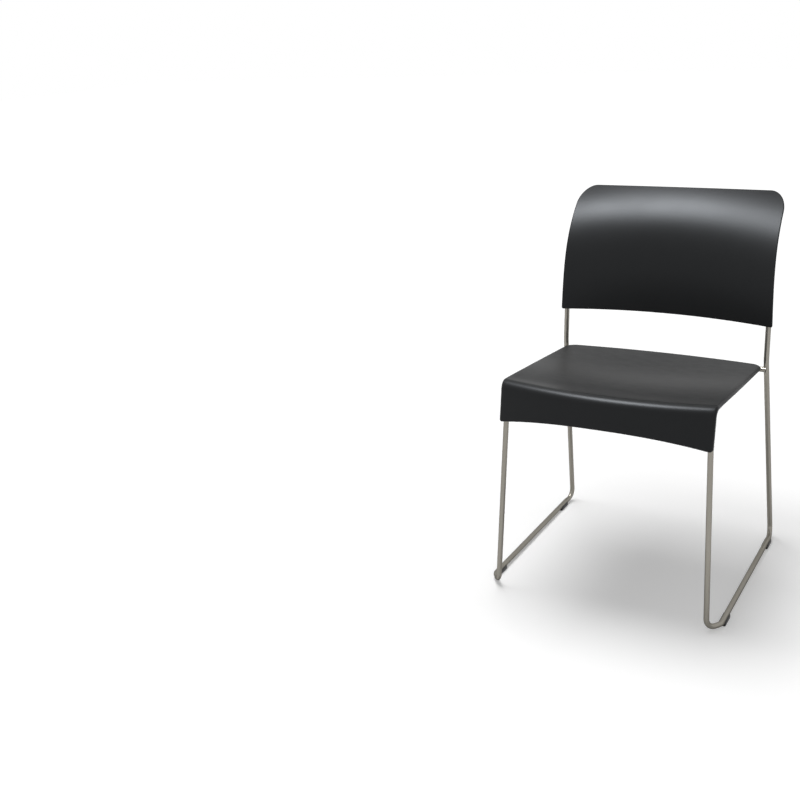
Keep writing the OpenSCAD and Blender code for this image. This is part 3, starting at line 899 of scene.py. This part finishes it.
def seatTab():
    # A flat plate from the rail to past the boss, its inner corners rounded
    inner, outer = -fixings["bossRadius"], fixings["tabReach"] - rodRadius / 2
    thick = fixings["tabThickness"]
    bm = block((outer - inner, fixings["tabWidth"], thick), ((inner + outer) / 2, 0, -thick / 2))
    corners = [e for e in bm.edges if all(v.co.x < 0 for v in e.verts)]
    corners = [e for e in corners if abs(e.verts[0].co.z - e.verts[1].co.z) > thick / 2]
    roundEdges(bm, corners, fixings["tabCorner"], fixings["tabCornerSteps"])
    roundEdges(bm, sharpEdges(bm, 60), fixings["edge"], fixings["edgeSteps"])
    return bm


for (end, sideName), matrix in fixingPlaces.items():
    tab = seatTab()
    bmesh.ops.transform(tab, matrix=matrix, verts=tab.verts)
    tabName = end + sideName.capitalize() + "SeatTab"
    finishPiece(tab, tabName, tabSteel, [f"{end}_{sideName}_seat_tab"])

screws = {
    "seatHead": (0.00475, 0.003),
    "seatShank": (0.0025, 0.009),
    "seatRecess": 0.0015,
    "backHead": (0.004, 0.0022),
    "backShank": (0.002, 0.0094),
    "backRecess": 0.00125,
    "backUp": 0.046,
    "tip": (0.8, 0.93),  # shares of the shank's radius and length
    "underHead": 0.03,
    "domeFrom": 0.35,  # share of the head's height
    "domeFlat": 0.62,  # share of the head's radius
    "recessRim": 1.3,  # shares of the recess's half width
    "recessDepth": 1.1,
    "domeSteps": 8,
}


def panScrew(head, shank, recess):
    # A pan head on +Z with a six-sided recess, and its shank along -Z
    radius, height = head
    shankRadius, shankLength = shank
    tipRadius, tipLength = screws["tip"]
    under, low, flat = screws["underHead"], screws["domeFrom"], screws["domeFlat"]
    profile = [(0, -shankLength), (shankRadius * tipRadius, -shankLength)]
    profile += [(shankRadius, -shankLength * tipLength), (shankRadius, 0)]
    profile += [(radius * (1 - under), 0), (radius, radius * under), (radius, height * low)]
    for share in steps(screws["domeSteps"]):
        angle = share * pi / 2
        profile.append((radius * (flat + (1 - flat) * cos(angle)), height * (low + (1 - low) * sin(angle))))
    profile.append((recess * screws["recessRim"], height))
    bm = revolved(profile)
    rim = [e for e in bm.edges if e.is_boundary]
    for drop in (0, recess * screws["recessDepth"]):
        fresh, rim = extrudeEdges(bm, rim)
        for v in fresh:
            turn = atan2(v.co.y, v.co.x) % (pi / 3) - pi / 6
            reach = recess / cos(turn)
            v.co = Vector((v.co.x, v.co.y, 0)).normalized() * reach + Vector((0, 0, height - drop))
    bmesh.ops.contextual_create(bm, geom=rim)
    return bm


def finishScrews(name, cadNode, screw, matrices):
    bm = bmesh.new()
    for matrix in matrices:
        addCopy(bm, screw, matrix)
    screw.free()
    finishPiece(bm, name, screwSteel, [cadNode], smoothAngle=32)


headDown = Matrix.Translation((0, 0, -fixings["tabThickness"])) @ Matrix.Rotation(pi, 4, "X")
seatScrew = panScrew(screws["seatHead"], screws["seatShank"], screws["seatRecess"])
finishScrews("seatScrews", "seat_screws", seatScrew, [matrix @ headDown for matrix in fixingPlaces.values()])
print("tabs and seat screws ready")


back = {
    "waist": 0.0007,
    "bottomArch": 0.0035,
    "lowerCorner": 0.004,
    "rim": 0.0016,
    "rimSteps": 4,
    "pocketBlend": 0.0075,
    "pocketCrest": 0.0030,
    "pocketSideRound": 0.0055,
    "pocketTopRound": 0.009,
    "pocketTopRise": 0.004,
    "edgeColumns": 26,
    "middleColumns": 44,
    "edgeShare": 0.10,
    "cornerRows": 6,
    "pocketRows": 12,
    "pocketTopRows": 16,
    "pocketTopBand": (0.007, 0.005),  # close rows from below the pocket's top to above it
    "middleRows": 22,
    "topRows": 18,
}

backHeight = layout["backHeight"]
backWall = layout["backWall"]


def edgeRise(bulge, t):
    # The bottom and the top edge are higher in the middle
    return (back["bottomArch"] * (1 - t) + layout["topCrown"] * t) * bulge


def backFace(x, t):
    # A point of the backrest's front face at height share t, and the way straight back through it
    bulge = 1 - (2 * x / layout["backWidth"]) ** 2
    height = max(0, t)
    power = layout["sweepPower"]
    bow = layout["bottomBow"] + (layout["topBow"] - layout["bottomBow"]) * height ** layout["bowPower"]
    sweep = layout["backSweep"] * height ** power
    slope = atan((layout["backLean"] + power * layout["backSweep"] * height ** (power - 1)) / backHeight)
    place = Vector((
        x,
        backFootY + layout["backLean"] * t + sweep + bow * bulge,
        backFootZ + backHeight * t + edgeRise(bulge, t),
    ))
    return place, Vector((0, cos(slope), -sin(slope)))


def backHalf(t, inset):
    # Half the width at height share t, to a line that runs this far inside the outline
    half = layout["backWidth"] / 2 - layout["backTaper"] / 2 * t - back["waist"] * 4 * t * (1 - t) - inset
    fromTop = backHeight * (1 - t) - inset
    fromFoot = backHeight * t - inset
    for corner, gap in ((layout["topCorner"] - inset, fromTop), (back["lowerCorner"] - inset, fromFoot)):
        if gap < corner:
            half -= corner - sqrt(max(0, corner ** 2 - (corner - gap) ** 2))
    return half


def pocketAxis(z):
    share = (z - rodPath[1].z) / (rodPath[0].z - rodPath[1].z)
    return rodPath[1].lerp(rodPath[0], share)


def backDepth(x, t):
    # Thickness of the backrest: thin, and deeper round the tops of the uprights
    place = backFace(x, t)[0]
    axis = pocketAxis(place.z)
    crest = axis.y + pocketDepth - place.y - backWall
    inner = ease((abs(x) - axis.x + back["pocketCrest"] + back["pocketBlend"]) / back["pocketBlend"])
    fromRim = max(0, min(1, (backHalf(t, back["rim"]) - abs(x)) / back["pocketSideRound"]))
    outer = sqrt(1 - (1 - fromRim) ** 2)
    top = ease((layout["pocketHeight"] + back["pocketTopRise"] - backHeight * t) / back["pocketTopRound"])
    return backWall + crest * inner * outer * top


def backColumns():
    # Columns from edge to edge as shares of the half width, close together over the pockets
    share, count = back["edgeShare"], back["edgeColumns"]
    edge = [1 - share * i / count for i in range(count)]
    middle = [(1 - share) * (2 * i / back["middleColumns"] - 1) for i in range(back["middleColumns"] + 1)]
    return [-value for value in edge] + middle + list(reversed(edge))


def backRows():
    # Heights of the rows above the foot, close together at the corners and the pockets' tops
    rim, low, high = back["rim"], back["lowerCorner"], backHeight - layout["topCorner"]
    below = layout["pocketHeight"] - back["pocketTopBand"][0]
    above = layout["pocketHeight"] + back["pocketTopBand"][1]
    rows = [rim + (low - rim) * (1 - cos(share * pi / 2)) for share in [0] + steps(back["cornerRows"])]
    rows += [low + (below - low) * share for share in steps(back["pocketRows"])]
    rows += [below + (above - below) * share for share in steps(back["pocketTopRows"])]
    rows += [above + (high - above) * share for share in steps(back["middleRows"])]
    rows += [high + (layout["topCorner"] - rim) * sin(share * pi / 2) for share in steps(back["topRows"])]
    return [height / backHeight for height in rows]


def backSheet(bm, columns, rows, depth):
    # One face of the backrest, inside its rounded rim
    for v, i, j in spacedGrid(bm, len(columns), len(rows)):
        t = rows[j]
        x = backHalf(t, back["rim"]) * columns[i]
        place, way = backFace(x, t)
        v.co = place + way * depth(x, t)


def tAt(place):
    # Height share of a point of the front face
    t = (place.z - backFootZ) / backHeight
    for _ in range(4):
        bulge = 1 - (2 * place.x / layout["backWidth"]) ** 2
        t = (place.z - backFootZ - edgeRise(bulge, t)) / backHeight
    return t


def shellBack():
    bm = bmesh.new()
    deep = bm.verts.layers.float.new("deep")
    columns, rows = backColumns(), backRows()
    backSheet(bm, columns, rows, lambda x, t: 0)
    bm.normal_update()
    rim = [e for e in bm.edges if e.is_boundary]
    guide = rimGuide(rim)
    for v in guide:
        t = tAt(v.co)
        v[deep] = backDepth(v.co.x, t)
        guide[v] = (guide[v][0], guide[v][1], -backFace(v.co.x, t)[1])
    radius, count = back["rim"], back["rimSteps"]
    for share in steps(count):
        angle = share * pi / 2
        down = radius * (1 - cos(angle))
        rim, guide = pushRim(bm, rim, guide, radius * sin(angle), lambda v: down)
    for share in [0] + steps(count):
        angle = share * pi / 2
        up = radius * (1 - sin(angle))
        rim, guide = pushRim(bm, rim, guide, radius * cos(angle), lambda v: v[deep] - up)
    backSheet(bm, columns, rows, backDepth)
    bmesh.ops.remove_doubles(bm, verts=bm.verts, dist=1e-5)
    bmesh.ops.recalc_face_normals(bm, faces=bm.faces)
    return bm


backBm = shellBack()
finishPiece(backBm, "backrestShell", backPlastic, ["backrest_shell"])

backScrewAt = pocketAxis(backFootZ + screws["backUp"]) + Vector((0, pocketDepth, 0))
backScrew = panScrew(screws["backHead"], screws["backShank"], screws["backRecess"])
headBack = Matrix.Translation(backScrewAt) @ Matrix.Rotation(-pi / 2, 4, "X")
finishScrews("backScrews", "back_screws", backScrew, [flipped(side) @ headBack for side in sides.values()])
print("backrest shell and its screws ready")

# Push-on clips: floor glides round the runners and stacking buffers round the rails
clips = {
    "wall": 0.0022,
    "tip": 0.0009,
    "rise": 0.001,
    "gap": 0.00005,
    "round": 0.0004,
    "roundSteps": 3,
    "fullBelow": 0.55,
    "columns": 73,
    "glideLength": 0.036,
    "glideClear": 0.0005,
    "bufferLength": 0.026,
    "bufferWidth": 0.008,
    "bufferSole": 0.004,
    "frontBufferBack": 0.064,
    "rearBufferAhead": 0.088,
    "glideSquareness": 12,
    "bufferSquareness": 8,
}
clipOuter = rodRadius + clips["gap"] + clips["wall"]


def clipOutline(angle, halfWidth, low, square):
    # Distance from the rod's axis to the outside: thin at the arms' tips, squarer towards the sole
    tip = rodRadius + clips["gap"] + clips["tip"]
    down = max(0, -sin(angle))
    arm = tip + (clipOuter - tip) * min(1, down / clips["fullBelow"])
    if down == 0:
        return arm
    boxed = ((abs(cos(angle)) / halfWidth) ** square + (down / low) ** square) ** (-1 / square)
    return max(arm, boxed) if halfWidth < clipOuter else min(arm + (boxed - clipOuter) * down, boxed)


def clipShape(length, halfWidth, sole, square):
    # A clip along Y, open above, its rod's axis at the origin
    bm = bmesh.new()
    inner = rodRadius + clips["gap"]
    for v, i, j in spacedGrid(bm, clips["columns"], 3):
        share, layer = i / (clips["columns"] - 1), j / 2
        start = asin(clips["rise"] / (inner + (clipOuter - inner) * layer))
        angle = start - (pi + 2 * start) * share
        reach = inner + (clipOutline(angle, halfWidth, rodRadius + sole, square) - inner) * layer
        v.co = Vector((reach * cos(angle), 0, reach * sin(angle)))
    bm.normal_update()
    bmesh.ops.solidify(bm, geom=bm.faces[:], thickness=length)
    middle = sum(v.co.y for v in bm.verts) / len(bm.verts)
    bmesh.ops.translate(bm, verts=bm.verts, vec=(0, -middle, 0))
    bmesh.ops.recalc_face_normals(bm, faces=bm.faces)
    roundEdges(bm, sharpEdges(bm, 50), clips["round"], clips["roundSteps"])
    return bm


def turnSetback(i):
    # Distance from a bend's corner to where its arc starts
    way, onward = rodPath[i] - rodPath[i - 1], rodPath[i + 1] - rodPath[i]
    return rodBends[i] * tan(way.angle(onward) / 2)


glideY = {
    "front": rodPath[4].y + turnSetback(4) + clips["glideClear"] + clips["glideLength"] / 2,
    "rear": rodPath[3].y - turnSetback(3) - clips["glideClear"] - clips["glideLength"] / 2,
}
bufferBack = {"front": clips["frontBufferBack"], "rear": railEnd - clips["rearBufferAhead"]}
railTurn = Matrix.Rotation(-seatSlope, 4, "X") @ Matrix.Rotation(atan(layout["railTaper"] / railEnd), 4, "Z")

for end in ("front", "rear"):
    onRunner = Matrix.Translation((runnerX, glideY[end], floorRodZ))
    onRail = Matrix.Translation(railPoint(bufferBack[end])) @ railTurn
    for sideName, side in sides.items():
        place, cadPlace = end + sideName.capitalize(), f"{end}_{sideName}"
        glide = clipShape(clips["glideLength"], clipOuter, layout["glideSole"], clips["glideSquareness"])
        bmesh.ops.transform(glide, matrix=flipped(side) @ onRunner, verts=glide.verts)
        finishPiece(glide, place + "Glide", glidePlastic, [cadPlace + "_glide"])
        bufferHalf = clips["bufferWidth"] / 2
        buffer = clipShape(clips["bufferLength"], bufferHalf, clips["bufferSole"], clips["bufferSquareness"])
        bmesh.ops.transform(buffer, matrix=flipped(side) @ onRail, verts=buffer.verts)
        finishPiece(buffer, place + "Buffer", bufferRubber, [cadPlace + "_buffer"])
print("glides and buffers ready")

# Weld beads where the rods and tabs meet: rippled tubes half sunk in the corners
welds = {
    "rodBead": 0.0016,
    "tabBead": 0.0013,
    "ripple": 0.13,
    "pitch": 0.0017,
    "step": 0.0003,
    "samples": 200,
    "blunt": 0.02,  # keeps a bead's ends from closing to a point
    "tabEnd": 0.002,
    "rearArc": (-84, 84),
    "railArc": (-212, 32),
    "frontArc": (12, 168),
}


def evenly(point, low, high):
    # Places along a run, given by a share from 0 to 1, at even steps
    samples = welds["samples"]
    rough = [point(low + (high - low) * i / samples) for i in range(samples + 1)]
    gaps = [(b - a).length for a, b in zip(rough, rough[1:])]
    total, run, places, i = sum(gaps), 0.0, [], 0
    count = max(8, round(total / welds["step"]))
    for k in range(count + 1):
        target = total * k / count
        while i < len(gaps) - 1 and run + gaps[i] < target:
            run += gaps[i]
            i += 1
        places.append(rough[i].lerp(rough[i + 1], (target - run) / gaps[i] if gaps[i] else 0))
    return places


def addBead(curve, places, radius):
    spline = curve.splines.new("POLY")
    spline.points.add(len(places) - 1)
    last = len(places) - 1
    for i, place in enumerate(places):
        fromEnd = min(i, last - i) * welds["step"]
        taper = sqrt(max(welds["blunt"], 1 - max(0, 1 - fromEnd / radius) ** 2))
        ripple = 1 + welds["ripple"] * sin(2 * pi * i * welds["step"] / welds["pitch"])
        spline.points[i].co = (*place, 1)
        spline.points[i].radius = radius * taper * ripple


def legAt(z):
    share = (z - rodPath[1].z) / (rodPath[2].z - rodPath[1].z)
    return rodPath[1].lerp(rodPath[2], share)


def rearSaddle(angle):
    # Round the rear cross rod where it meets the rear leg
    y, z = crossY + rodRadius * cos(angle), crossZ + rodRadius * sin(angle)
    leg = legAt(z)
    return Vector((leg.x - sqrt(max(0, rodRadius ** 2 - (y - leg.y) ** 2)), y, z))


def railSaddle(angle):
    # Round the rail's rear end where it meets the rear cross rod
    end = railPoint(railEnd)
    x, z = end.x + rodRadius * cos(angle), end.z + rodRadius * sin(angle)
    return Vector((x, crossY - sqrt(max(0, rodRadius ** 2 - (z - crossZ) ** 2)), z))


def frontSaddle(angle):
    # Round the front cross rod where it meets the rail
    y, z = frontCrossEnd.y + rodRadius * cos(angle), frontCrossEnd.z + rodRadius * sin(angle)
    rail = railPoint(bends["frontCrossBack"])
    return Vector((rail.x - sqrt(max(0, rodRadius ** 2 - (z - rail.z) ** 2)), y, z))


def tabRun(distance, drop):
    # Along the corner between the rail and a tab's lower or upper face
    foot = bossPlace(distance).z - drop
    x = railPoint(distance).x - sqrt(max(0, rodRadius ** 2 - (foot + railDrop) ** 2))
    half = fixings["tabWidth"] / 2 - welds["tabEnd"]
    return lambda share: seatPlane @ Vector((x, distance + half * (2 * share - 1), foot))


def weldBeads():
    curve = bpy.data.curves.new("beads", "CURVE")
    curve.dimensions = "3D"
    curve.bevel_depth = 1
    curve.bevel_resolution = 3
    curve.use_fill_caps = True
    runs = []
    for saddle, arc in ((rearSaddle, "rearArc"), (railSaddle, "railArc"), (frontSaddle, "frontArc")):
        low, high = welds[arc]
        runs.append((evenly(saddle, radians(low), radians(high)), welds["rodBead"]))
    for distance in fixingDistances.values():
        for drop in (0, fixings["tabThickness"]):
            runs.append((evenly(tabRun(distance, drop), 0, 1), welds["tabBead"]))
    for places, radius in runs:
        for side in sides.values():
            addBead(curve, mirrored(places, side), radius)
    holder = bpy.data.objects.new("beads", curve)
    bpy.context.scene.collection.objects.link(holder)
    mesh = bpy.data.meshes.new_from_object(holder.evaluated_get(bpy.context.evaluated_depsgraph_get()))
    bm = bmesh.new()
    bm.from_mesh(mesh)
    bpy.data.objects.remove(holder)
    bpy.data.curves.remove(curve)
    bpy.data.meshes.remove(mesh)
    bmesh.ops.remove_doubles(bm, verts=bm.verts, dist=1e-6)
    return bm


beadBm = weldBeads()
finishPiece(beadBm, "weldBeads", weldSteel)
print("weld beads ready")
